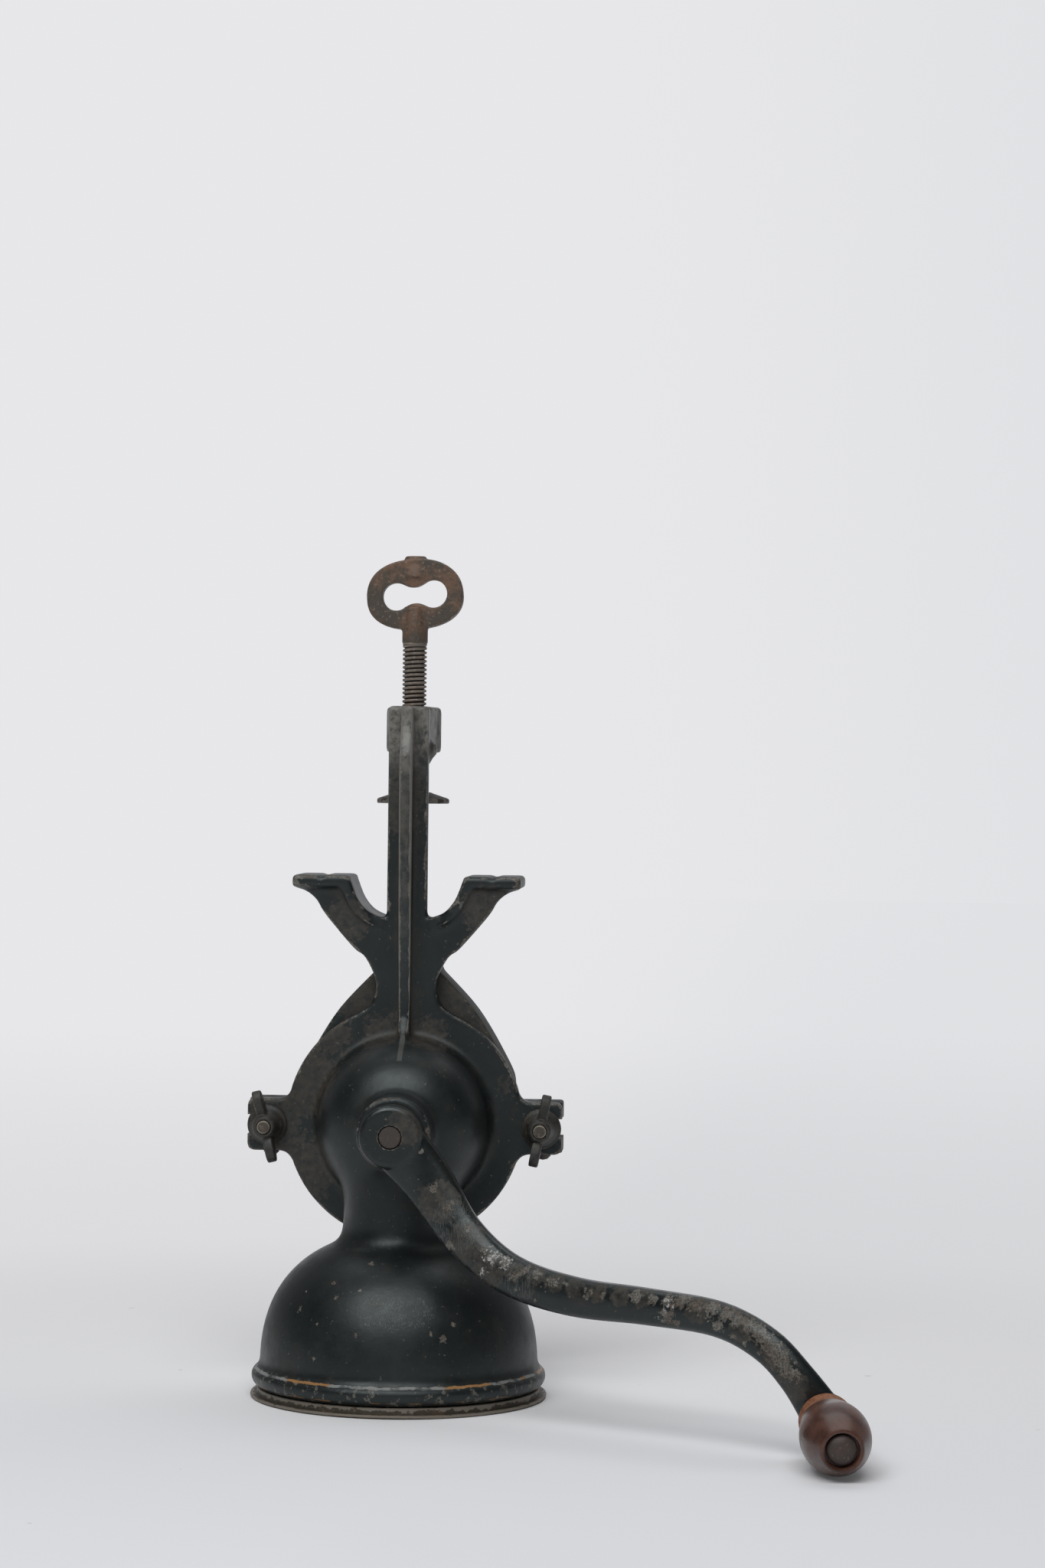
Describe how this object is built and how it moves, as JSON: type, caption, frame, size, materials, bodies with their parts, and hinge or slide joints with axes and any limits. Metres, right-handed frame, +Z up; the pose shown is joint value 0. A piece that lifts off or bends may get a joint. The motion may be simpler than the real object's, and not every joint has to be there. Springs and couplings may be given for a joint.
{
  "type": "manual coffee grinder",
  "caption": "Hand-cranked table-clamp coffee mill in black cast iron, stood upside down on its lidded hopper, with a clamp screw, a grinding casing and a cranked handle with a wooden knob.",
  "frame": {"origin": "middle of the hopper lid's flush underside, on the table that the mill stands on", "axes": "+Z up along the hopper's axis, towards the clamp screw's head; -Y to the front, where the crank and the wing nuts are; +Y to the back, where the table goes into the jaw; +X to the right"},
  "size_m": [0.2251, 0.236, 0.3081],
  "materials": {
    "black_enamel": "satin black-green enamel, brown at the worn edges",
    "worn_enamel": "worn black enamel chipped to dark iron",
    "rusty_sheet": "dark tarnished sheet with brown rust",
    "rusty_steel": "brown rusted iron, worn smooth",
    "dark_steel": "dull dark steel",
    "bare_iron": "bare grey iron",
    "bright_steel": "polished hard steel",
    "varnished_wood": "dark red-brown varnish, worn orange at the foot"
  },
  "bodies": {
    "lid": {"hopper_lid": "rusty_sheet"},
    "mill": {"hopper_casting": "black_enamel", "rear_casing": "black_enamel", "fixed_burr": "bare_iron", "fixed_burr_screw_1": "dark_steel", "fixed_burr_screw_2": "dark_steel", "fixed_burr_screw_3": "dark_steel", "swing_bolt_left": "dark_steel", "swing_bolt_right": "dark_steel", "swing_pin_left": "dark_steel", "swing_pin_right": "dark_steel"},
    "pressure_foot": {"pressure_plate": "rusty_steel"},
    "screw": {"clamp_screw": "rusty_steel"},
    "washer_left": {"wing_washer_left": "worn_enamel"},
    "washer_right": {"wing_washer_right": "worn_enamel"},
    "nut_left": {"wing_nut_left": "worn_enamel"},
    "nut_right": {"wing_nut_right": "worn_enamel"},
    "ball": {"thrust_ball": "bright_steel"},
    "adjuster": {"adjusting_screw": "dark_steel"},
    "crank": {"main_shaft": "dark_steel", "feed_worm": "bare_iron", "worm_pin": "dark_steel", "rotating_burr": "bare_iron", "crank_arm": "worn_enamel", "knob_rivet": "dark_steel"},
    "knob": {"crank_knob": "varnished_wood"}
  },
  "joints": [
    {"name": "mill_lift_off", "type": "slide", "parent": "lid", "child": "mill", "axis": [0, 0, 1], "range_m": [0, 0.06]},
    {"name": "plate_travel", "type": "slide", "parent": "mill", "child": "pressure_foot", "axis": [0, 0, -1], "range_m": [-0.0143, 0.0279]},
    {"name": "clamp_turn", "type": "hinge", "parent": "pressure_foot", "child": "screw", "pos_m": [0, 0.034, 0.2156], "axis": [0, 0, -1], "range_deg": [-3243, 6327]},
    {"name": "washer_left_travel", "type": "slide", "parent": "mill", "child": "washer_left", "axis": [0, -1, 0], "range_m": [0, 0.0053]},
    {"name": "nut_left_turn", "type": "hinge", "parent": "washer_left", "child": "nut_left", "pos_m": [-0.0506, 0, 0.0967], "axis": [0, -1, 0], "range_deg": [0, 1804]},
    {"name": "washer_right_travel", "type": "slide", "parent": "mill", "child": "washer_right", "axis": [0, -1, 0], "range_m": [0, 0.0053]},
    {"name": "nut_right_turn", "type": "hinge", "parent": "washer_right", "child": "nut_right", "pos_m": [0.0506, 0, 0.0967], "axis": [0, -1, 0], "range_deg": [0, 1804]},
    {"name": "burr_gap_travel", "type": "slide", "parent": "mill", "child": "ball", "axis": [0, 1, 0], "range_m": [0, 0.00125]},
    {"name": "burr_gap_turn", "type": "hinge", "parent": "ball", "child": "adjuster", "pos_m": [0, 0.041, 0.098], "axis": [0, 1, 0], "range_deg": [0, 360.1]},
    {"name": "crank_turn", "type": "hinge", "parent": "ball", "child": "crank", "pos_m": [0, 0, 0.098], "axis": [0, -1, 0], "continuous": true},
    {"name": "knob_spin", "type": "hinge", "parent": "crank", "child": "knob", "pos_m": [0.1525, -0.111, 0.01319], "axis": [0.0989, -0.9936, -0.055], "continuous": true}
  ],
  "couplings": [
    {"joint": "clamp_turn", "follows": "plate_travel", "rad_per_m": 3957.9},
    {"joint": "nut_left_turn", "follows": "washer_left_travel", "rad_per_m": 5937.1},
    {"joint": "nut_right_turn", "follows": "washer_right_travel", "rad_per_m": 5937.1},
    {"joint": "burr_gap_turn", "follows": "burr_gap_travel", "rad_per_m": 5026.5}
  ]
}
